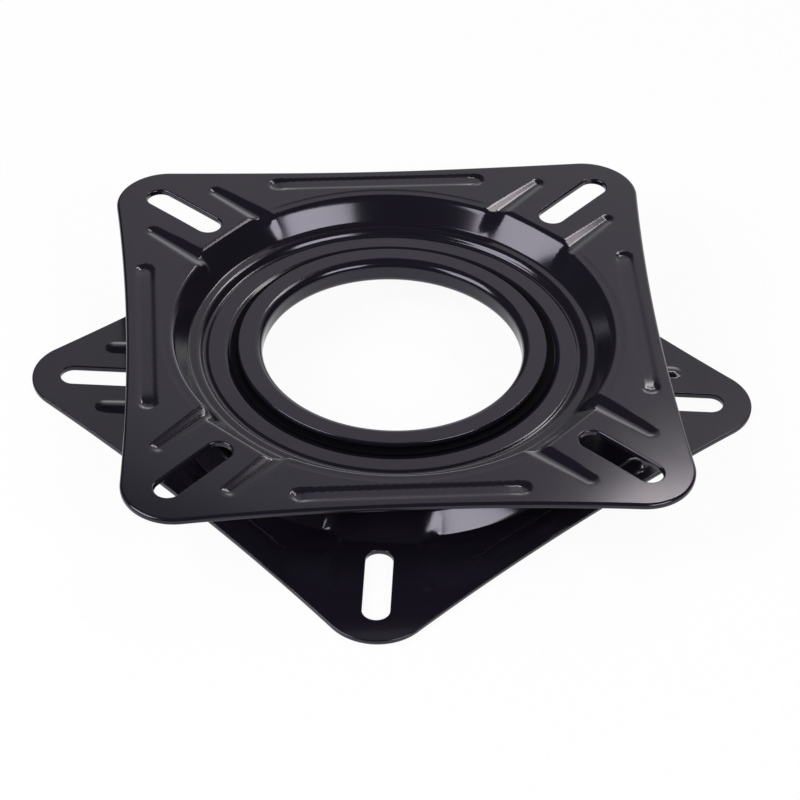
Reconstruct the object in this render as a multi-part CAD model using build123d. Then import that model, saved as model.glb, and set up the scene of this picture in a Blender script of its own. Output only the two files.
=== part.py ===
from build123d import *
import os
from math import radians, sqrt, tan

# Seat swivel plate: two pressed steel plates that turn on a ring of balls.
# Millimetres, +Z up. The origin is the centre of the lower plate's seating face.
# The lower plate's bolt slots lie along X and Y.

os.makedirs("parts", exist_ok=True)

# Sheet and plate outline
sheet = 2.0
plate_width = 177.8
side_sag = 4.2
corner_radius = 17.0
edge_round = 1.0
rest_turn = -38.4

# Dish: rim bend, wall, flat shoulder, small step and level ring
dish_share = 0.3965
wall_angle = 52.0
rim_inner_bend = 0.6
shoulder_depth = 7.2
shoulder_width = 3.2
shoulder_bend = 1.2
step_angle = 55.0
step_inner_bend = 0.3
ring_depth = 9.3

# Flat across the dish wall at each corner
flat_step = 2.1
flat_run = 8.1
flat_width = 30.0

# Bolt slots, one on each diagonal
slot_width = 8.5
slot_travel = 22.0
slot_gap = 6.2

# Pressed ribs beside the slots and long beads along the sides
rib_offset = 14.9
rib_overlap = 2.5
rib_reach = 21.0
rib_width = 7.0
rib_depth = 1.5
bead_shift = 0.7
bead_share = 0.36
bead_width = 5.6
bead_depth = 1.1
press_angle = 45.0
press_round = 0.6

# Ball row and its cage
ball_diameter = 4.7625
ball_count = 20
ball_margin = 4.8
track_clearance = 0.03
cage_thickness = 2.4
cage_width = 7.4
pocket_clearance = 0.12

# Drawn neck of the lower plate, rolled outwards over the upper plate
neck_gap = 7.0
cone_run = 6.8
cone_angle = 36.0
cone_inner_bend = 0.8
lip_reach = 7.4
lip_inner_bend = 0.6
lip_below_top = 6.0

# Glide ring between the rolled lip and the upper plate
hole_clearance = 2.3
glide_clearance = 0.3
glide_seat = 0.15
glide_proud = 2.9
glide_skirt = 1.8

# Sizes that follow from those above, from the rim inwards
rim_corner = dish_share * plate_width
rim_bend = sheet + rim_inner_bend
wall_run_out = rim_corner + rim_bend * tan(radians(wall_angle / 2))
wall_foot = rim_corner - shoulder_depth / tan(radians(wall_angle))
step_radius = wall_foot - shoulder_width
step_foot = step_radius - (ring_depth - shoulder_depth) / tan(radians(step_angle))
step_bend = sheet + step_inner_bend
ball_circle = step_foot - ball_margin
cone_foot = ball_circle - neck_gap
bore_radius = cone_foot - cone_run
cone_bend = sheet + cone_inner_bend
lip_radius = bore_radius + lip_reach
lip_bend = sheet + lip_inner_bend
upper_hole = bore_radius + sheet + hole_clearance
glide_radius = lip_radius + glide_proud

# Places on the flange
flange_start = wall_run_out + 2.0
flat_rim = rim_corner + flat_step
flat_foot = flat_rim - flat_run
slot_centre = rim_corner + slot_gap + (slot_width + slot_travel) / 2
rib_start = rim_corner - rib_overlap
rib_end = rim_corner + rib_reach
mid_side = plate_width / 2 - side_sag
bead_offset = (rim_corner + mid_side) / 2 + bead_shift
bead_length = bead_share * plate_width

# Heights
ring_top = ring_depth + sheet
ball_height = ring_top + track_clearance + ball_diameter / 2
total_height = 2 * ball_height
lip_top = total_height - lip_below_top
upper_ring_top = total_height - ring_depth


def section(points, radii):
    """Revolved sheet whose seating side follows the rounded line through the points."""
    line = FilletPolyline(*points, radius=radii)
    face = make_face(line.offset_2d(sheet, kind=Kind.INTERSECTION, side=Side.RIGHT))
    return revolve(Plane.XZ * face, Axis.Z)


# Seating side of the dish, from the flange in to the level ring
dish_points = [
    (flange_start, 0),
    (rim_corner, 0),
    (wall_foot, shoulder_depth),
    (step_radius, shoulder_depth),
    (step_foot, ring_depth),
]
dish_radii = [rim_bend, shoulder_bend, step_bend, shoulder_bend]


def outline():
    """Square with hollowed sides and rounded corners, its corners on the axes."""
    half = plate_width / 2
    tips = [(half, -half), (half, half), (-half, half), (-half, -half)]
    mids = [(mid_side, 0), (0, mid_side), (-mid_side, 0), (0, -mid_side)]
    sides = []
    for index in range(4):
        sides.append(ThreePointArc(tips[index], mids[index], tips[(index + 1) % 4]))
    shape = make_face(Wire(sides))
    return Rot(0, 0, 45) * fillet(shape.vertices(), corner_radius)


def tapered_bar(length, width, base, depth, widen):
    """Round-ended bar lying along X whose flanks slope in as it rises."""
    spread = 2 * widen * tan(radians(press_angle / 2))
    bar = extrude(SlotCenterToCenter(length, width + spread), depth, taper=press_angle)
    crest = bar.faces().sort_by(Axis.Z)[-1].edges()
    return Pos(0, 0, base) * fillet(crest, press_round + widen / 4)


def pressed(length, width, depth):
    """Hollow and raised side of one straight pressing in the flange."""
    hollow = tapered_bar(length, width, 0, depth, 0)
    raised = tapered_bar(length, width, sheet, depth, sheet)
    return hollow, raised


def corner_flat():
    """Hollow and raised side of the flat across the dish wall on the X axis."""
    run = flat_rim - flat_foot
    lean = (sqrt(run**2 + shoulder_depth**2) - run) / shoulder_depth
    shift = sheet * lean
    inner = step_radius + 2
    top = shoulder_depth + sheet
    hollow = Polyline(
        (inner, 0), (flat_rim, 0), (flat_foot, shoulder_depth), (inner, shoulder_depth), close=True
    )
    raised = Polyline(
        (inner, sheet), (flat_rim + shift, sheet), (flat_foot + shift, top), (inner, top), close=True
    )
    half = flat_width / 2
    cut = extrude(Plane.XZ * make_face(hollow), half, both=True)
    fill = extrude(Plane.XZ * make_face(raised), half + shift, both=True)
    return cut, fill


def dish_hollow():
    """Space under the dish wall, as far in as the shoulder."""
    inner = step_radius + 2
    line = FilletPolyline(
        (flange_start, 0), (rim_corner, 0), (wall_foot, shoulder_depth), (inner, shoulder_depth),
        radius=[rim_bend, shoulder_bend],
    )
    rest = Polyline((inner, shoulder_depth), (inner, -1), (flange_start, -1), (flange_start, 0))
    return revolve(Plane.XZ * make_face(Wire(line.edges() + rest.edges())), Axis.Z)


def pressed_plate(centre_points, centre_radii):
    """One plate, seating face down at height zero and dish rising from it."""
    blank = extrude(outline(), sheet)
    blank = fillet(blank.edges().group_by(Axis.Z)[0], edge_round)
    blank -= Cylinder(flange_start, 3 * sheet)
    plate = blank + section(dish_points + centre_points, dish_radii + centre_radii)
    hollows = [dish_hollow()]
    slots = []
    for quarter in range(4):
        turn = Rot(0, 0, 90 * quarter)
        flat = corner_flat()
        hollows.append(turn * flat[0])
        plate += turn * flat[1]
        reach = rib_end - rib_start
        for side in (-1, 1):
            place = turn * Pos(rib_start + reach / 2, side * rib_offset, 0)
            rib = pressed(reach, rib_width, rib_depth)
            hollows.append(place * rib[0])
            plate += place * rib[1]
        place = Rot(0, 0, 90 * quarter + 45) * Pos(bead_offset, 0, 0) * Rot(0, 0, 90)
        bead = pressed(bead_length, bead_width, bead_depth)
        hollows.append(place * bead[0])
        plate += place * bead[1]
        slot = SlotCenterToCenter(slot_travel, slot_width)
        slots.append(turn * Pos(slot_centre, 0, 0) * extrude(slot, sheet))
    for hollow in hollows:
        plate -= hollow
    for slot in slots:
        plate -= slot
    return plate


# Lower plate: cone, straight bore, rolled lip
cone_head = ring_depth + (cone_foot - bore_radius) * tan(radians(cone_angle))
neck_points = [
    (cone_foot, ring_depth),
    (bore_radius, cone_head),
    (bore_radius, lip_top),
    (lip_radius, lip_top),
]
lower_plate = pressed_plate(neck_points, [cone_bend, cone_bend, lip_bend])

# Upper plate: the same pressing upside down, with a plain round hole
upper_plate = pressed_plate([(upper_hole, ring_depth)], [])
upper_plate = Pos(0, 0, total_height) * Rot(0, 0, rest_turn) * Rot(180, 0, 0) * upper_plate

# Balls on one circle, half in each track
balls = []
for index in range(ball_count):
    turn = Rot(0, 0, 360 * index / ball_count)
    balls.append(turn * Pos(ball_circle, 0, ball_height) * Sphere(ball_diameter / 2))
bearing_balls = Compound(children=balls)

# Flat moulded cage with one round pocket for each ball
cage = Cylinder(ball_circle + cage_width / 2, cage_thickness)
cage -= Cylinder(ball_circle - cage_width / 2, cage_thickness)
for index in range(ball_count):
    pocket = Cylinder(ball_diameter / 2 + pocket_clearance, cage_thickness)
    cage -= Rot(0, 0, 360 * index / ball_count) * Pos(ball_circle, 0, 0) * pocket
ball_cage = Pos(0, 0, ball_height) * cage

# Glide ring: flange on the upper plate's ring, skirt inside its hole
skirt_inner = bore_radius + sheet + glide_clearance
skirt_outer = upper_hole - glide_seat
skirt_foot = upper_ring_top - glide_skirt
glide_top = lip_top - sheet - glide_clearance
glide_line = Polyline(
    (skirt_inner, skirt_foot),
    (skirt_outer, skirt_foot),
    (skirt_outer, upper_ring_top),
    (glide_radius, upper_ring_top),
    (glide_radius, glide_top),
    (skirt_inner, glide_top),
    close=True,
)
glide_ring = revolve(Plane.XZ * make_face(glide_line), Axis.Z)

export_step(lower_plate, "parts/lower_plate.step")
export_step(upper_plate, "parts/upper_plate.step")
export_step(bearing_balls, "parts/bearing_balls.step")
export_step(ball_cage, "parts/ball_cage.step")
export_step(glide_ring, "parts/glide_ring.step")
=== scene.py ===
import math

import bpy
import numpy as np
from mathutils import Matrix, Vector
from mathutils.geometry import delaunay_2d_cdt


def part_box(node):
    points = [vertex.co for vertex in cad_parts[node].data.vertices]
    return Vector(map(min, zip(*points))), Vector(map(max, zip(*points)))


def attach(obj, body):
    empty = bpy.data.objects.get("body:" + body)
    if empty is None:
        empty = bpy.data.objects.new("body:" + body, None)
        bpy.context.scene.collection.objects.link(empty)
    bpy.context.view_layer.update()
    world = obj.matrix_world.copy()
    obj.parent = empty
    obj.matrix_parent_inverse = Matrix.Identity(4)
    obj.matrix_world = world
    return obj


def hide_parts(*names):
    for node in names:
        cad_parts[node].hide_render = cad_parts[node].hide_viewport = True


bl_info = {
    "name": "Seat swivel plate",
    "version": (1, 0, 0),
    "blender": (4, 5, 0),
    "location": "View3D > Sidebar > Swivel",
    "description": "Builds the look of a pressed steel seat swivel around its solid model",
    "category": "Object",
}

MM = 0.001

# Steps round circles and along the plate's edges
ROUND_STEPS = 344
SIDE_STEPS = 150
CORNER_STEPS = 48
SLOT_END_STEPS = 28
SLOT_SIDE_STEPS = 24
CAP_STEPS = 9
WALL_STEP = math.radians(0.5)
BEND_STEP = math.radians(5)
RIM_STEP = math.radians(15)

# Spacing of the flange's net, and how its points are joined
NET_STEP = 0.85 * MM
COARSE_EVERY = 3
NET_OVERLAP = 2 * MM
NET_SLACK = 0.01 * MM
SLOPE_REACH = 0.12 * MM
WELD = 0.004 * MM
DELAUNAY_SLACK = 1e-5
BEYOND_RIM = 40 * MM
CREASE_MARGIN = 1.2 * MM
RIB_MARGIN = 0.4 * MM

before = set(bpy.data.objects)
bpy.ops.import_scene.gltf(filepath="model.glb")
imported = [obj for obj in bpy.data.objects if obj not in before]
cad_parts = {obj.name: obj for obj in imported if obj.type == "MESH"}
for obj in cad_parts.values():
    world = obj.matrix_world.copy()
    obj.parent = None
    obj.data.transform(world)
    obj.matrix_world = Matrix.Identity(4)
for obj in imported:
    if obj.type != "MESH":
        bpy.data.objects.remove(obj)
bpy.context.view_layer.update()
total_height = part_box("upper_plate")[1][2]
lip_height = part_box("lower_plate")[1][2]


# Properties

def length(name, description, millimetres):
    """Length property, given in millimetres and kept in metres."""
    return bpy.props.FloatProperty(
        name=name, description=description, default=millimetres * MM, unit="LENGTH", precision=5
    )


def angle(name, description, degrees):
    """Angle property, given in degrees and kept in radians."""
    return bpy.props.FloatProperty(
        name=name, description=description, default=math.radians(degrees), subtype="ANGLE"
    )


def number(name, description, value):
    """Plain number property."""
    return bpy.props.FloatProperty(name=name, description=description, default=value)


def colour(name, description, value):
    """Linear colour property."""
    return bpy.props.FloatVectorProperty(
        name=name, description=description, default=value, subtype="COLOR", size=3, min=0.0, max=1.0
    )


class SwivelSizes(bpy.types.PropertyGroup):
    """Sizes of the two pressed plates."""

    sheet: length("Sheet", "Thickness of the steel", 2.0)
    plate_width: length("Plate width", "Width between two sides at their unrounded corners", 177.8)
    side_sag: length("Side sag", "How far each side is hollowed", 4.2)
    corner_radius: length("Corner radius", "Radius of the plate's corners", 17.0)
    edge_round: length("Edge round", "Rolled edge on the seating side", 1.0)
    burr_round: length("Burr round", "Small round on the other edges", 0.4)
    rest_turn: angle("Rest turn", "Upper plate's turn at rest", -38.4)
    slot_width: length("Slot width", "Width of a bolt slot", 8.5)
    slot_travel: length("Slot travel", "Distance between a slot's end centres", 22.0)
    slot_centre: length("Slot centre", "Slot's middle from the axis", 91.95)
    slot_edge: length("Slot edge", "Strip round a slot that takes its rounded rim", 0.8)
    corner_droop: length("Corner droop", "How far the upper plate's corners bend down", 1.0)
    droop_start: length("Droop start", "Place on the diagonal where the corners begin to bend", 80.0)
    crease_radius: length("Crease radius", "Shallow crease round the dish", 73.6)
    crease_drop: length("Crease drop", "Step at the shallow crease", 0.1)
    crease_width: length("Crease width", "Width of the shallow crease", 1.6)
    wall_angle: angle("Wall angle", "Slope of the dish wall", 52.0)
    rim_corner: length("Rim corner", "Radius where flange and wall would meet", 70.5)
    rim_bend: length("Rim bend", "Bend at the dish rim", 2.6)
    shoulder_depth: length("Shoulder depth", "Depth of the flat shoulder", 7.2)
    shoulder_bend: length("Shoulder bend", "Bend at the foot of the wall", 1.2)
    step_radius: length("Step radius", "Radius of the small step", 61.67)
    step_angle: angle("Step angle", "Slope of the small step", 55.0)
    step_bend: length("Step bend", "Bend at the head of the step", 2.3)
    ring_depth: length("Ring depth", "Depth of the level ring", 9.3)
    flat_rim: length("Flat rim", "Head of the corner flat from the axis", 72.6)
    flat_width: length("Flat width", "Width of the corner flat", 30.0)
    flat_blend: length("Flat blend", "Run of the corner flat's ends into the wall", 6.0)
    rib_offset: length("Rib offset", "Rib's middle from the diagonal", 14.9)
    rib_start: length("Rib start", "Rib's inner end centre from the axis", 68.0)
    rib_end: length("Rib end", "Rib's outer end centre from the axis", 91.5)
    rib_width: length("Rib width", "Width of a rib at its inner end", 9.0)
    rib_depth: length("Rib depth", "Depth of a rib at its inner end", 0.95)
    rib_taper: number("Rib taper", "Share of width and depth lost at the outer end", 0.35)
    bead_offset: length("Bead offset", "Bead's middle from the axis", 78.3)
    bead_length: length("Bead length", "Distance between a bead's end centres", 66.5)
    bead_width: length("Bead width", "Width of a bead at its mouth", 6.8)
    bead_depth: length("Bead depth", "Depth of a bead at its middle", 0.25)
    bead_flank: length("Bead flank", "Width of a bead's sloping side", 1.9)
    bead_end_depth: length("Bead end depth", "Depth of a bead at its ends", 0.6)
    bead_end_power: number("Bead end power", "How suddenly a bead deepens at its ends", 12.0)
    cut_bulge: length("Cut bulge", "How far the cut edge of the sheet is rounded out", 0.45)
    bore_radius: length("Bore radius", "Radius of the open centre", 41.6)
    cone_angle: angle("Cone angle", "Slope of the neck's foot", 36.0)
    cone_foot: length("Cone foot", "Radius where the neck leaves the ring", 48.4)
    cone_bend: length("Cone bend", "Bend at the foot of the neck", 2.8)
    neck_bend: length("Neck bend", "Bend between cone and bore", 2.8)
    lip_bend: length("Lip bend", "Bend of the rolled lip", 2.6)
    lip_radius: length("Lip radius", "Outer radius of the rolled lip", 49.0)
    upper_hole: length("Upper hole", "Radius of the upper plate's hole", 45.9)
    race_outer: length("Race outer", "Outer edge of the upper plate's ring over the balls", 58.8)
    race_inner: length("Race inner", "Inner edge of that raised ring", 53.6)
    race_foot: length("Race foot", "Inner foot of that raised ring", 52.2)
    race_rise: length("Race rise", "Rise of that ring", 0.6)
    race_bend: length("Race bend", "Bend at its edges", 1.5)


class SwivelFinish(bpy.types.PropertyGroup):
    """Colours and gloss of the pieces and the floor."""

    coat: colour("Coat", "Gloss black dip coat", (0.0075, 0.0062, 0.0110))
    coat_gloss: number("Coat roughness", "Roughness of the dip coat", 0.14)
    coat_index: number("Coat index", "Refractive index of the dip coat", 1.48)
    coat_sheen: colour("Coat sheen", "Tint of the coat's reflections", (0.88, 0.84, 1.0))
    flow_scale: number("Flow scale", "Fineness of the flow in the coat", 38.0)
    flow_share: number("Flow share", "How far the flow changes the roughness", 0.08)
    glide: colour("Glide ring", "Black moulded plastic", (0.002, 0.0018, 0.003))
    cage: colour("Cage", "Natural moulded plastic", (0.62, 0.60, 0.54))
    ball: colour("Balls", "Polished steel", (0.62, 0.62, 0.63))
    floor: colour("Floor", "Pale studio floor", (0.82, 0.82, 0.82))
    floor_half: length("Floor half", "Half the width of the studio floor", 4000.0)
    floor_rough: number("Floor roughness", "Roughness of the studio floor", 0.9)
    floor_white: number("Floor white", "Share of plain white in the floor as it is seen", 0.94)


class SwivelStudio(bpy.types.PropertyGroup):
    """Camera, lamps and surroundings."""

    camera_turn: angle("Camera turn", "Camera's turn about the upright axis", 1.35)
    camera_rise: angle("Camera rise", "Camera's height above the horizon", 40.12)
    camera_roll: angle("Camera roll", "Camera's roll", 1.69)
    camera_distance: length("Camera distance", "Camera to the middle of the view", 1030.4)
    aim_right: length("Aim right", "Middle of the view, to the right", 2.9)
    aim_back: length("Aim back", "Middle of the view, to the back", -5.48)
    lens: number("Lens", "Focal length for a 36 mm sensor", 144.0)
    backdrop: number("Backdrop", "Brightness of the pale surroundings behind", 0.74)
    horizon: number("Horizon", "Added brightness low down behind", 1.2)
    ceiling: number("Ceiling", "Brightness of the rest of the room", 0.05)
    left_lamp: number("Left lamp", "Brightness of the left softbox", 8.5)
    front_lamp: number("Front lamp", "Brightness of the front right softbox", 9.5)
    back_lamp: number("Back lamp", "Brightness of the small lamp over the back right", 15.0)
    side_lamp: number("Side lamp", "Brightness of the small lamp over the far right", 9.0)
    warm: colour("Warm light", "Colour of the two small lamps", (1.0, 0.95, 0.88))


# Line and surface maths

def unit(vector):
    """Vector divided by its length."""
    return vector / np.linalg.norm(vector)


def rounded_line(points, radii, step):
    """Points and directions along a line whose corners are arcs tangent to both sides.

    At a corner with turn a and radius r, the arc starts r * tan(a / 2) before it.
    """
    corners = np.asarray(points, float)
    spots = [corners[:1]]
    ways = [unit(corners[1] - corners[0])[None]]
    for before, corner, after, radius in zip(corners, corners[1:], corners[2:], radii):
        way_in = unit(corner - before)
        way_out = unit(after - corner)
        turn = math.atan2(way_in[0] * way_out[1] - way_in[1] * way_out[0], way_in @ way_out)
        start = corner - radius * math.tan(abs(turn) / 2) * way_in
        inward = np.array([-way_in[1], way_in[0]]) * math.copysign(1.0, turn)
        centre = start + radius * inward
        turns = np.linspace(0.0, turn, max(3, math.ceil(abs(turn) / step)) + 1)
        cosine = np.cos(turns)[:, None]
        sine = np.sin(turns)[:, None]
        spoke = start - centre
        spots.append(centre + cosine * spoke + sine * np.array([-spoke[1], spoke[0]]))
        ways.append(cosine * way_in + sine * np.array([-way_in[1], way_in[0]]))
    spots.append(corners[-1:])
    ways.append(unit(corners[-1] - corners[-2])[None])
    return np.concatenate(spots), np.concatenate(ways)


def smooth_step(value):
    """Rises from 0 to 1 as value goes from 0 to 1, level at both ends."""
    value = np.clip(value, 0.0, 1.0)
    return value * value * (3.0 - 2.0 * value)


def side_circle(size):
    """Radius of a hollowed side and the distance of its centre from the axis."""
    half = size.plate_width / 2
    radius = (half**2 + size.side_sag**2) / (2 * size.side_sag)
    return radius, half - size.side_sag + radius


def edge_distance(x, y, size):
    """Distance of points inside the plate from its outline, with the corners rounded."""
    radius, reach = side_circle(size)
    near = []
    for quarter in range(4):
        turn = math.radians(45 + 90 * quarter)
        near.append(np.hypot(x - reach * math.cos(turn), y - reach * math.sin(turn)) - radius)
    near = np.sort(np.array(near), axis=0)
    first = np.maximum(size.corner_radius - near[0], 0.0)
    second = np.maximum(size.corner_radius - near[1], 0.0)
    return np.where(second > 0.0, size.corner_radius - np.hypot(first, second), near[0])


def capsule_distance(x, y, start, end, across):
    """Distance from the straight line along X between start and end, at height across in Y."""
    return np.hypot(x - np.clip(x, start, end), y - across)


def trough(distance, half, flank, depth):
    """Depth of a pressed groove: nothing at its mouth, half away, and full one flank further in."""
    return depth * smooth_step((half - distance) / flank)


def quarters(x, y, start=0.0):
    """The points' places along and across each of the four diagonals or sides."""
    for quarter in range(4):
        turn = start + quarter * math.pi / 2
        along = x * math.cos(turn) + y * math.sin(turn)
        yield along, y * math.cos(turn) - x * math.sin(turn)


class Pressing:
    """Height of a plate's seating side above its flange, as one function of place.

    The dish is a turned line. Each corner flat runs from a straight rim to the round foot of
    the wall and fades into the wall at its ends. Ribs and beads join the dish through the
    cube root of the sum of cubes, which keeps the flange level and the joins soft.
    """

    def __init__(self, size, droop):
        self.size = size
        self.droop = droop
        corner = size.rim_corner
        foot = corner - size.shoulder_depth / math.tan(size.wall_angle)
        self.foot = foot
        start = (corner + BEYOND_RIM, 0)
        ends = [(foot, size.shoulder_depth), (size.step_radius, size.shoulder_depth)]
        bends = [size.rim_bend, size.shoulder_bend]
        wall, _ = rounded_line([start, (corner, 0), *ends], bends, WALL_STEP)
        self.wall = wall[::-1]
        flat, _ = rounded_line([start, (size.flat_rim, 0), *ends], bends, WALL_STEP)
        self.flat = flat[::-1]

    def height(self, x, y):
        """Height of the seating side at each place."""
        size = self.size
        radius = np.hypot(x, y)
        wall = np.interp(radius, self.wall[:, 0], self.wall[:, 1])
        dish = wall
        grooves = np.zeros_like(x)
        bent = np.zeros_like(x)
        tip = size.plate_width * math.sqrt(0.5) - size.droop_start
        between = np.ones_like(x)
        for along, across in quarters(x, y):
            side = np.abs(across)
            bent += self.droop * (np.maximum(along - size.droop_start, 0.0) / tip) ** 2
            foot = np.sqrt(np.maximum(self.foot**2 - side**2, 0.0))
            share = (size.flat_rim - along) / (size.flat_rim - foot)
            ramp = np.interp(size.flat_rim - share * (size.flat_rim - self.foot), *self.flat.T)
            inside = smooth_step((size.flat_width / 2 - side) / size.flat_blend + 0.5)
            dish = dish + np.where(along > 0.0, inside * np.maximum(ramp - wall, 0.0), 0.0)
            beside = smooth_step((side - size.rib_offset) / size.rib_width)
            between *= np.where(along > 0.0, beside, 1.0)
            away = capsule_distance(along, side, size.rib_start, size.rib_end, size.rib_offset)
            thin = np.clip((along - size.rib_start) / (size.rib_end - size.rib_start), 0.0, 1.0)
            keep = 1.0 - size.rib_taper * thin
            half = keep * size.rib_width / 2
            grooves += trough(away, half, half, size.rib_depth * keep) ** 3
        crease = smooth_step((size.crease_radius - radius) / size.crease_width + 0.5)
        dish = np.maximum(dish, size.crease_drop * crease * between)
        reach = size.bead_length / 2
        for along, across in quarters(x, y, math.pi / 4):
            away = capsule_distance(across, along, -reach, reach, size.bead_offset)
            end = np.minimum(np.abs(across) / reach, 1.0) ** size.bead_end_power
            depth = size.bead_depth + end * (size.bead_end_depth - size.bead_depth)
            grooves += trough(away, size.bead_width / 2, size.bead_flank, depth) ** 3
        return np.cbrt(dish**3 + grooves) + bent

    def seat(self, x, y):
        """Points of the seating side and their outward directions, by central differences."""
        reach = SLOPE_REACH
        slope_x = (self.height(x + reach, y) - self.height(x - reach, y)) / (2 * reach)
        slope_y = (self.height(x, y + reach) - self.height(x, y - reach)) / (2 * reach)
        spots = np.stack([x, y, self.height(x, y)], axis=-1)
        out = np.stack([slope_x, slope_y, -np.ones_like(x)], axis=-1)
        return spots, out / np.linalg.norm(out, axis=-1, keepdims=True)


def outline_loop(size, inset):
    """Plate outline moved in by inset, and its outward directions, as one closed loop.

    Each side is an arc about a centre outside the plate and each corner an arc about the
    point that lies one corner radius from both its sides.
    """
    radius, reach = side_circle(size)
    grown = radius + size.corner_radius
    hub = (reach - math.sqrt(2 * grown**2 - reach**2)) / 2
    lean = math.atan2(hub, reach - hub)
    spots = []
    out = []
    for quarter in range(4):
        turn = math.radians(45 + 90 * quarter)
        cosine, sine = math.cos(turn), math.sin(turn)
        frame_x = np.array([cosine, sine])
        frame_y = np.array([-sine, cosine])
        angles = np.linspace(-lean, lean, SIDE_STEPS, endpoint=False)[:, None]
        way = np.cos(angles) * frame_x - np.sin(angles) * frame_y
        spots.append(reach * frame_x - (radius + inset) * way)
        out.append(way)
        angles = np.linspace(-lean, math.pi / 2 + lean, CORNER_STEPS, endpoint=False)[:, None]
        centre = hub * frame_x + hub * frame_y
        way = np.cos(angles) * frame_x + np.sin(angles) * frame_y
        spots.append(centre + (size.corner_radius - inset) * way)
        out.append(way)
    return np.concatenate(spots), np.concatenate(out)


def slot_loop(size, quarter, grow):
    """Slot outline grown by grow, and its directions into the slot, as one closed loop."""
    radius = size.slot_width / 2 + grow
    halves = []
    for end in (0, 1):
        angles = np.linspace(-math.pi / 2, math.pi / 2, SLOT_END_STEPS) + math.pi * end
        way = np.stack([np.cos(angles), np.sin(angles)], axis=-1)
        centre = np.array([size.slot_centre + (0.5 - end) * size.slot_travel, 0.0])
        halves.append((centre + radius * way, -way))
    straight = np.linspace(0.0, 1.0, SLOT_SIDE_STEPS, endpoint=False)[1:, None]
    spots = []
    out = []
    for (arc, way), (after, _) in zip(halves, halves[::-1]):
        spots += [arc, arc[-1] + straight * (after[0] - arc[-1])]
        out += [way, np.repeat(way[-1:], len(straight), axis=0)]
    turn = quarter * math.pi / 2
    spin = np.array([[math.cos(turn), math.sin(turn)], [-math.sin(turn), math.cos(turn)]])
    return np.concatenate(spots) @ spin, np.concatenate(out) @ spin


def circle_loop(radius):
    """Circle about the axis as one closed loop."""
    angles = np.linspace(0.0, 2 * math.pi, ROUND_STEPS, endpoint=False)
    return radius * np.stack([np.cos(angles), np.sin(angles)], axis=-1)


def slot_distance(places, size):
    """Distance of places from the nearest slot's middle line."""
    start = size.slot_centre - size.slot_travel / 2
    end = size.slot_centre + size.slot_travel / 2
    away = []
    for along, across in quarters(places[:, 0], places[:, 1]):
        away.append(capsule_distance(along, across, start, end, 0.0))
    return np.min(away, axis=0)


def flange_points(size, inner):
    """Places inside the flange: close staggered rows where it is pressed, rings on the dish wall."""
    fine = NET_STEP
    half_step = 0.5 * fine
    row_step = fine * math.sqrt(0.75)
    shoulder_step = 0.4 * fine
    wall_step = 0.9 * fine
    # The rounded corners end short of the half diagonal, so the rows stop there too
    tip = size.plate_width * 0.7
    x, y = np.meshgrid(np.arange(-tip, tip, fine), np.arange(-tip, tip, row_step))
    x[1::2] += fine / 2
    coarse = np.zeros(x.shape, bool)
    coarse[::COARSE_EVERY, ::COARSE_EVERY] = True
    x, y, coarse = x.ravel(), y.ravel(), coarse.ravel()
    pressed = np.zeros(len(x), bool)
    for along, across in quarters(x, y):
        side = np.abs(across)
        away = capsule_distance(along, side, size.rib_start, size.rib_end, size.rib_offset)
        pressed |= away < size.rib_width / 2 + fine
        pressed |= (along > 0) & (along < size.flat_rim + 4 * fine) & (side < size.rib_offset)
    reach = size.bead_length / 2
    for along, across in quarters(x, y, math.pi / 4):
        away = capsule_distance(across, along, -reach, reach, size.bead_offset)
        pressed |= away < size.bead_width / 2 + fine
    rim = size.crease_radius + CREASE_MARGIN
    far = np.hypot(x, y)
    foot = Pressing(size, 0.0).foot + size.shoulder_bend
    chosen = (pressed & (far > foot + half_step)) | (coarse & (far > rim))
    rows = np.stack([x, y], axis=-1)[chosen]
    shoulder = np.arange(inner + shoulder_step, foot, shoulder_step)
    rings = np.concatenate([shoulder, np.arange(foot, rim, wall_step)])
    wall = np.concatenate([circle_loop(radius) for radius in rings])
    corner = np.zeros(len(wall), bool)
    ribs_side = size.rib_offset + size.rib_width / 2 + RIB_MARGIN
    for along, across in quarters(wall[:, 0], wall[:, 1]):
        corner |= (along > 0) & (np.abs(across) < ribs_side)
    corner &= np.hypot(wall[:, 0], wall[:, 1]) > foot - 0.1 * fine
    places = np.concatenate([rows, wall[~corner]])
    keep = edge_distance(places[:, 0], places[:, 1], size) > size.edge_round + half_step
    keep &= slot_distance(places, size) > size.slot_width / 2 + size.slot_edge + half_step
    return places[keep]


def flange_net(size, inner):
    """Triangles over the flange between its outline, its four slots and the inner circle."""
    loops = [outline_loop(size, size.edge_round)[0], circle_loop(inner)]
    loops += [slot_loop(size, quarter, size.slot_edge)[0] for quarter in range(4)]
    edges = []
    first = 0
    for loop in loops:
        index = first + np.arange(len(loop))
        edges.append(np.stack([index, np.roll(index, -1)], axis=-1))
        first += len(loop)
    places = np.concatenate(loops + [flange_points(size, inner)])
    vectors = [Vector(place) for place in (places / MM).tolist()]
    found = delaunay_2d_cdt(vectors, np.concatenate(edges).tolist(), [], 1, DELAUNAY_SLACK)
    source = np.array([owners[0] for owners in found[3]])
    triangles = source[np.array(found[2])]
    middle = places[triangles].mean(axis=1)
    keep = np.hypot(middle[:, 0], middle[:, 1]) > inner - NET_SLACK
    keep &= slot_distance(middle, size) > size.slot_width / 2 + size.slot_edge - NET_SLACK
    return places, triangles[keep]


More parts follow.
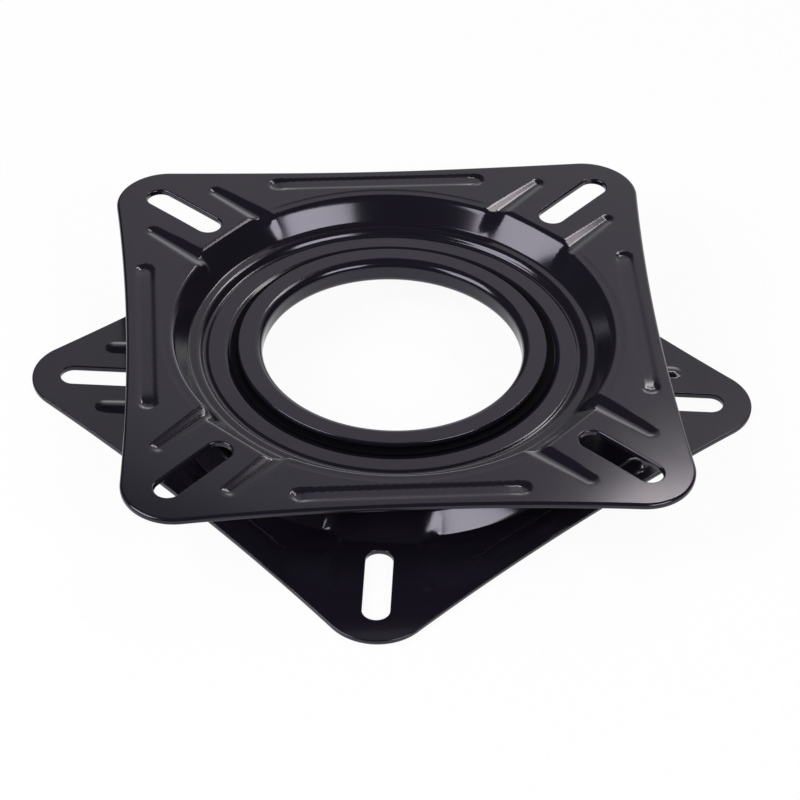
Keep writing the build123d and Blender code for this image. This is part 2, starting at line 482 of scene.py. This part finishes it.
class Shell:
    """Collects grids and nets of points into one closed mesh."""

    def __init__(self):
        self.spots = []
        self.ways = []
        self.triangles = []
        self.quads = []
        self.count = 0

    def add(self, spots, ways):
        """Keeps points and their outward directions, and returns the first one's index."""
        first = self.count
        self.spots.append(spots.reshape(-1, 3))
        self.ways.append(ways.reshape(-1, 3))
        self.count += len(self.spots[-1])
        return first

    def net(self, spots, ways, triangles):
        """Adds a triangle net."""
        self.triangles.append(self.add(spots, ways) + triangles)

    def grid(self, spots, ways, flip):
        """Adds a grid whose second direction is a closed loop."""
        rows, columns = spots.shape[:2]
        index = self.add(spots, ways) + np.arange(rows * columns).reshape(rows, columns)
        after = np.roll(index, -1, axis=1)
        quads = np.stack([index[:-1], after[:-1], after[1:], index[1:]], axis=-1).reshape(-1, 4)
        self.quads.append(quads[:, ::-1] if flip else quads)

    def mesh(self, name, place):
        """Joins points that coincide, moves all by the place matrix and makes the mesh."""
        spots = np.concatenate(self.spots)
        ways = np.concatenate(self.ways)
        cells = np.round(spots / WELD).astype(np.int64)
        _, first, joined = np.unique(cells, axis=0, return_index=True, return_inverse=True)
        joined = joined.ravel()
        spots = spots[first] @ np.array(place.to_3x3()).T + np.array(place.translation)
        ways = ways[first] @ np.array(place.to_3x3()).T
        triangles = joined[np.concatenate(self.triangles)]
        quads = joined[np.concatenate(self.quads)]
        loops = np.concatenate([triangles.ravel(), quads.ravel()])
        starts = np.concatenate([
            3 * np.arange(len(triangles)), 3 * len(triangles) + 4 * np.arange(len(quads))
        ])
        mesh = bpy.data.meshes.new(name)
        mesh.vertices.add(len(spots))
        mesh.vertices.foreach_set("co", spots.astype(np.float32).ravel())
        mesh.loops.add(len(loops))
        mesh.loops.foreach_set("vertex_index", loops.astype(np.int32))
        mesh.polygons.add(len(starts))
        mesh.polygons.foreach_set("loop_start", starts.astype(np.int32))
        mesh.update(calc_edges=True)
        mesh.validate()
        mesh.shade_smooth()
        mesh.normals_split_custom_set_from_vertices(ways.astype(np.float32))
        return mesh


def rim_grid(spots, ways, outward, profile, profile_ways):
    """Rounded rim carried along a loop: each profile point goes out along the loop's own
    direction and up through the sheet."""
    across = np.concatenate([outward, np.zeros((len(outward), 1))], axis=1)
    up = -ways
    across = across - up * (across * up).sum(axis=1, keepdims=True)
    grid = spots + profile[:, 0, None, None] * across + profile[:, 1, None, None] * up
    out = profile_ways[:, 1, None, None] * across - profile_ways[:, 0, None, None] * up
    return grid, out


def turned_grid(line, ways):
    """Line of radius and height carried round the axis; its outward side is on its left."""
    angles = np.linspace(0.0, 2 * math.pi, ROUND_STEPS, endpoint=False)
    cosine = np.cos(angles)
    sine = np.sin(angles)

    def carry(radius, height):
        level = np.broadcast_to(height[:, None], (len(height), ROUND_STEPS))
        return np.stack([radius[:, None] * cosine, radius[:, None] * sine, level], axis=-1)

    return carry(line[:, 0], line[:, 1]), carry(-ways[:, 1], ways[:, 0])


def sheet_path(points, radii, sheet, bulge):
    """Line along the seating side, round the cut edge as half an ellipse, and back along
    the other side of the sheet."""
    line, ways = rounded_line(points, radii, BEND_STEP)
    right = np.stack([ways[:, 1], -ways[:, 0]], axis=-1)
    turns = np.linspace(0.0, math.pi, CAP_STEPS)[1:-1, None]
    middle = line[-1] + right[-1] * sheet / 2
    cap = middle - np.cos(turns) * right[-1] * sheet / 2 + np.sin(turns) * ways[-1] * bulge
    cap_ways = np.sin(turns) * right[-1] * sheet / 2 + np.cos(turns) * ways[-1] * bulge
    cap_ways /= np.linalg.norm(cap_ways, axis=1, keepdims=True)
    spots = np.concatenate([line, cap, (line + sheet * right)[::-1]])
    return spots, np.concatenate([ways, cap_ways, -ways[::-1]])


def plate_mesh(name, size, droop, net, centre_points, centre_radii, place):
    """One pressed plate: flange net on both sides, rolled rims, and the turned centre."""
    pressing = Pressing(size, droop)
    places, triangles = net
    shell = Shell()
    spots, ways = pressing.seat(places[:, 0], places[:, 1])
    shell.net(spots, ways, triangles[:, ::-1])
    shell.net(spots - size.sheet * ways, -ways, triangles)
    rims = [(outline_loop(size, size.edge_round), size.edge_round, size.edge_round, False)]
    slot_round = 0.75 * size.slot_edge
    for quarter in range(4):
        rims.append((slot_loop(size, quarter, size.slot_edge), size.slot_edge, slot_round, True))
    for (loop, outward), reach, rim_round, flip in rims:
        corners = [(0, 0), (reach, 0), (reach, size.sheet), (0, size.sheet)]
        profile, profile_ways = rounded_line(corners, [rim_round, size.burr_round], RIM_STEP)
        spots, ways = pressing.seat(loop[:, 0], loop[:, 1])
        shell.grid(*rim_grid(spots, ways, outward, profile, profile_ways), flip)
    drop = (size.ring_depth - size.shoulder_depth) / math.tan(size.step_angle)
    points = [
        (size.step_radius + NET_OVERLAP, size.shoulder_depth),
        (size.step_radius, size.shoulder_depth),
        (size.step_radius - drop, size.ring_depth),
    ]
    radii = [size.step_bend, size.shoulder_bend]
    points += centre_points
    radii += centre_radii
    line, line_ways = sheet_path(points, radii, size.sheet, size.cut_bulge)
    shell.grid(*turned_grid(line, line_ways), True)
    return shell.mesh(name, place)


# Materials

class Wire:
    """A shader socket with arithmetic: each operator adds a Math node."""

    def __init__(self, tree, socket):
        self.tree = tree
        self.socket = socket

    def node(self, kind, settings, links, output=0):
        """Adds a node of a kind, sets it up, links its sockets and gives one output."""
        made = self.tree.nodes.new(kind)
        for key, value in settings.items():
            setattr(made, key, value)
        for key, value in links.items():
            if isinstance(value, Wire):
                self.tree.links.new(value.socket, made.inputs[key])
            else:
                made.inputs[key].default_value = value
        return Wire(self.tree, made.outputs[output])

    def math(self, operation, first, second):
        """Adds one Math node."""
        return self.node("ShaderNodeMath", {"operation": operation}, {0: first, 1: second})

    def __add__(self, other):
        return self.math("ADD", self, other)

    def __radd__(self, other):
        return self.math("ADD", other, self)

    def __sub__(self, other):
        return self.math("SUBTRACT", self, other)

    def __rsub__(self, other):
        return self.math("SUBTRACT", other, self)

    def __mul__(self, other):
        return self.math("MULTIPLY", self, other)

    def __rmul__(self, other):
        return self.math("MULTIPLY", other, self)

    def ramp(self, low, high):
        """0 at low, 1 at high, smooth between and level beyond."""
        links = {"Value": self, "From Min": low, "From Max": high}
        return self.node("ShaderNodeMapRange", {"interpolation_type": "SMOOTHSTEP"}, links)


def new_material(name):
    """Material with its shader and a wire to start expressions from."""
    material = bpy.data.materials.new(name)
    material.use_nodes = True
    tree = material.node_tree
    shader = tree.nodes["Principled BSDF"]
    return material, shader, Wire(tree, None)


def plain_finish(name, tint, roughness, metallic=0.0, shine=0.5):
    """Even finish in one colour."""
    material, shader, _ = new_material(name)
    shader.inputs["Base Color"].default_value = (*tint, 1.0)
    shader.inputs["Roughness"].default_value = roughness
    shader.inputs["Metallic"].default_value = metallic
    shader.inputs["Specular IOR Level"].default_value = shine
    return material


def dip_coat(finish):
    """Gloss black dip coat with a faint flow in its gloss."""
    material, shader, wire = new_material("black_dip_coat")
    shader.inputs["Base Color"].default_value = (*finish.coat, 1.0)
    shader.inputs["IOR"].default_value = finish.coat_index
    shader.inputs["Specular Tint"].default_value = (*finish.coat_sheen, 1.0)
    place = wire.node("ShaderNodeTexCoord", {}, {}, "Object")
    links = {"Vector": place, "Scale": finish.flow_scale, "Detail": 3.0}
    flow = wire.node("ShaderNodeTexNoise", {}, links)
    rough = finish.coat_gloss + (flow - 0.5) * finish.flow_share
    material.node_tree.links.new(rough.socket, shader.inputs["Roughness"])
    return material


def show_piece(mesh, material, body, node):
    """Puts a mesh into the scene in place of a solid, riding on its body."""
    piece = bpy.data.objects.new(mesh.name, mesh)
    bpy.context.scene.collection.objects.link(piece)
    mesh.materials.append(material)
    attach(piece, body)
    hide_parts(node)


def repaint(node, material):
    """Gives a solid's own mesh another material."""
    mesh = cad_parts[node].data
    mesh.materials.clear()
    mesh.materials.append(material)


# Pieces

class SWIVEL_OT_plates(bpy.types.Operator):
    """Make the two pressed plates"""

    bl_idname = "swivel.plates"
    bl_label = "Pressed plates"

    def execute(self, context):
        size = context.scene.swivel_sizes
        coat = dip_coat(context.scene.swivel_finish)
        net = flange_net(size, size.step_radius + NET_OVERLAP)
        rise = (size.cone_foot - size.bore_radius) * math.tan(size.cone_angle)
        neck = [
            (size.cone_foot, size.ring_depth),
            (size.bore_radius, size.ring_depth + rise),
            (size.bore_radius, lip_height),
            (size.lip_radius, lip_height),
        ]
        bends = [size.cone_bend, size.neck_bend, size.lip_bend]
        lower = plate_mesh("lower_pressing", size, 0.0, net, neck, bends, Matrix.Identity(4))
        show_piece(lower, coat, "base", "lower_plate")
        over = Matrix.Rotation(math.pi, 4, "X")
        turn = Matrix.Rotation(size.rest_turn, 4, "Z")
        place = Matrix.Translation((0, 0, total_height)) @ turn @ over
        hole = [
            (size.race_outer, size.ring_depth - size.race_rise),
            (size.race_inner, size.ring_depth - size.race_rise),
            (size.race_foot, size.ring_depth),
            (size.upper_hole, size.ring_depth),
        ]
        bends = [size.race_bend, size.race_bend, size.shoulder_bend]
        upper = plate_mesh("upper_pressing", size, size.corner_droop, net, hole, bends, place)
        show_piece(upper, coat, "seat_plate", "upper_plate")
        return {"FINISHED"}


class SWIVEL_OT_bearing(bpy.types.Operator):
    """Paint the balls, their cage and the glide ring"""

    bl_idname = "swivel.bearing"
    bl_label = "Bearing"

    def execute(self, context):
        finish = context.scene.swivel_finish
        steel = plain_finish("polished_balls", finish.ball, roughness=0.15, metallic=1.0)
        repaint("bearing_balls", steel)
        repaint("ball_cage", plain_finish("cage_plastic", finish.cage, roughness=0.5))
        dull = plain_finish("glide_plastic", finish.glide, roughness=0.6, shine=0.03)
        repaint("glide_ring", dull)
        return {"FINISHED"}


# Stage

def softbox(name, towards, distance, width, height, brightness, tint=(1.0, 1.0, 1.0)):
    """Area lamp that shines on the object from a direction."""
    lamp = bpy.data.lights.new(name, "AREA")
    lamp.shape = "RECTANGLE"
    lamp.size = width
    lamp.size_y = height
    lamp.energy = brightness * math.pi * width * height
    lamp.color = tint
    holder = bpy.data.objects.new(name, lamp)
    bpy.context.scene.collection.objects.link(holder)
    back = Vector(towards).normalized()
    across = Vector((0.0, 0.0, 1.0)).cross(back).normalized()
    facing = Matrix((across, back.cross(across), back)).transposed()
    holder.matrix_world = Matrix.Translation(back * distance) @ facing.to_4x4()
    holder.visible_camera = False


def studio_floor(finish):
    """Wide pale floor, white to the camera and in reflections but for a share of the shadow."""
    half = finish.floor_half
    corners = [(-half, -half, 0), (half, -half, 0), (half, half, 0), (-half, half, 0)]
    mesh = bpy.data.meshes.new("studio_floor")
    mesh.from_pydata(corners, [], [(0, 1, 2, 3)])
    material, shader, wire = new_material("pale_floor")
    shader.inputs["Base Color"].default_value = (*finish.floor, 1.0)
    shader.inputs["Roughness"].default_value = finish.floor_rough
    tree = material.node_tree
    glow = wire.node("ShaderNodeEmission", {}, {"Color": (1, 1, 1, 1), "Strength": 1.0})
    seen = wire.node("ShaderNodeLightPath", {}, {}, "Is Camera Ray")
    for ray in ("Is Glossy Ray", "Is Transmission Ray"):
        seen = seen + wire.node("ShaderNodeLightPath", {}, {}, ray)
    lit = Wire(tree, shader.outputs[0])
    mixed = wire.node("ShaderNodeMixShader", {}, {0: seen * finish.floor_white, 1: lit, 2: glow})
    tree.links.new(mixed.socket, tree.nodes["Material Output"].inputs["Surface"])
    mesh.materials.append(material)
    floor = bpy.data.objects.new("studio_floor", mesh)
    bpy.context.scene.collection.objects.link(floor)


def studio_room(studio):
    """Surroundings: white to the camera, pale behind the object and dark overhead and in front."""
    world = bpy.data.worlds.new("studio_room")
    world.use_nodes = True
    tree = world.node_tree
    tree.nodes.clear()
    wire = Wire(tree, None)
    way = wire.node("ShaderNodeTexCoord", {}, {}, "Generated")
    back = wire.node("ShaderNodeSeparateXYZ", {}, {0: way}, "Y")
    up = wire.node("ShaderNodeSeparateXYZ", {}, {0: way}, "Z")
    across = wire.node("ShaderNodeSeparateXYZ", {}, {0: way}, "X")
    left_end = across.ramp(-0.4, -0.05)
    right_end = 1.0 - across.ramp(0.45, 0.75)
    behind = back.ramp(0.3, 0.7)
    under_top = 1.0 - up.ramp(0.68, 0.705)
    low_down = 1.0 - up.ramp(0.05, 0.45)
    pale = left_end * right_end * behind * under_top
    level = studio.ceiling + pale * (studio.backdrop + low_down * studio.horizon)
    seen = wire.node("ShaderNodeLightPath", {}, {}, "Is Camera Ray")
    strength = level + seen * (1.0 - level)
    shown = wire.node("ShaderNodeBackground", {}, {"Color": (1, 1, 1, 1), "Strength": strength})
    end = tree.nodes.new("ShaderNodeOutputWorld")
    tree.links.new(shown.socket, end.inputs["Surface"])
    bpy.context.scene.world = world


def studio_camera(studio, sheet):
    """Camera at the photograph's angle, looking down over the near side."""
    turn = Matrix.Rotation(studio.camera_turn, 4, "Z")
    rise = studio.camera_rise
    back = Vector((0.0, -math.cos(rise), math.sin(rise)))
    spot = back * studio.camera_distance + Vector((studio.aim_right, studio.aim_back, 0.0))
    tilt = Matrix.Rotation(math.pi / 2 - rise, 4, "X") @ Matrix.Rotation(studio.camera_roll, 4, "Z")
    data = bpy.data.cameras.new("studio_camera")
    data.sensor_width = 36.0
    data.lens = studio.lens
    camera = bpy.data.objects.new("studio_camera", data)
    bpy.context.scene.collection.objects.link(camera)
    raised = Matrix.Translation((0.0, 0.0, sheet))
    camera.matrix_world = raised @ turn @ Matrix.Translation(spot) @ tilt
    bpy.context.scene.camera = camera


class SWIVEL_OT_stage(bpy.types.Operator):
    """Set up the floor, room, lamps and camera"""

    bl_idname = "swivel.stage"
    bl_label = "Stage"

    def execute(self, context):
        studio = context.scene.swivel_studio
        studio_floor(context.scene.swivel_finish)
        studio_room(studio)
        softbox(
            "left_softbox", towards=(-0.71, -0.30, 0.635), distance=1.3,
            width=0.85, height=0.72, brightness=studio.left_lamp,
        )
        softbox(
            "front_softbox", towards=(0.60, -0.58, 0.55), distance=1.3,
            width=0.70, height=0.45, brightness=studio.front_lamp,
        )
        softbox(
            "back_softbox", towards=(0.208, 0.632, 0.747), distance=1.5,
            width=0.305, height=0.14, brightness=studio.back_lamp, tint=studio.warm,
        )
        softbox(
            "side_softbox", towards=(0.38, 0.47, 0.793), distance=1.5,
            width=0.36, height=0.20, brightness=studio.side_lamp, tint=studio.warm,
        )
        studio_camera(studio, context.scene.swivel_sizes.sheet)
        context.scene.view_settings.view_transform = "Standard"
        return {"FINISHED"}


class SWIVEL_PT_panel(bpy.types.Panel):
    """Sidebar list of the pieces"""

    bl_idname = "SWIVEL_PT_panel"
    bl_label = "Seat swivel plate"
    bl_space_type = "VIEW_3D"
    bl_region_type = "UI"
    bl_category = "Swivel"

    def draw(self, context):
        for operator in (SWIVEL_OT_plates, SWIVEL_OT_bearing, SWIVEL_OT_stage):
            self.layout.operator(operator.bl_idname)


CLASSES = (
    SwivelSizes,
    SwivelFinish,
    SwivelStudio,
    SWIVEL_OT_plates,
    SWIVEL_OT_bearing,
    SWIVEL_OT_stage,
    SWIVEL_PT_panel,
)


def register():
    """Adds the classes and the scene's settings."""
    for entry in CLASSES:
        bpy.utils.register_class(entry)
    bpy.types.Scene.swivel_sizes = bpy.props.PointerProperty(type=SwivelSizes)
    bpy.types.Scene.swivel_finish = bpy.props.PointerProperty(type=SwivelFinish)
    bpy.types.Scene.swivel_studio = bpy.props.PointerProperty(type=SwivelStudio)


def unregister():
    """Takes the settings and classes away again."""
    del bpy.types.Scene.swivel_sizes
    del bpy.types.Scene.swivel_finish
    del bpy.types.Scene.swivel_studio
    for entry in reversed(CLASSES):
        bpy.utils.unregister_class(entry)


def main():
    """Registers the classes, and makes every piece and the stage."""
    register()
    bpy.ops.swivel.plates()
    bpy.ops.swivel.bearing()
    bpy.ops.swivel.stage()


if __name__ == "__main__":
    main()
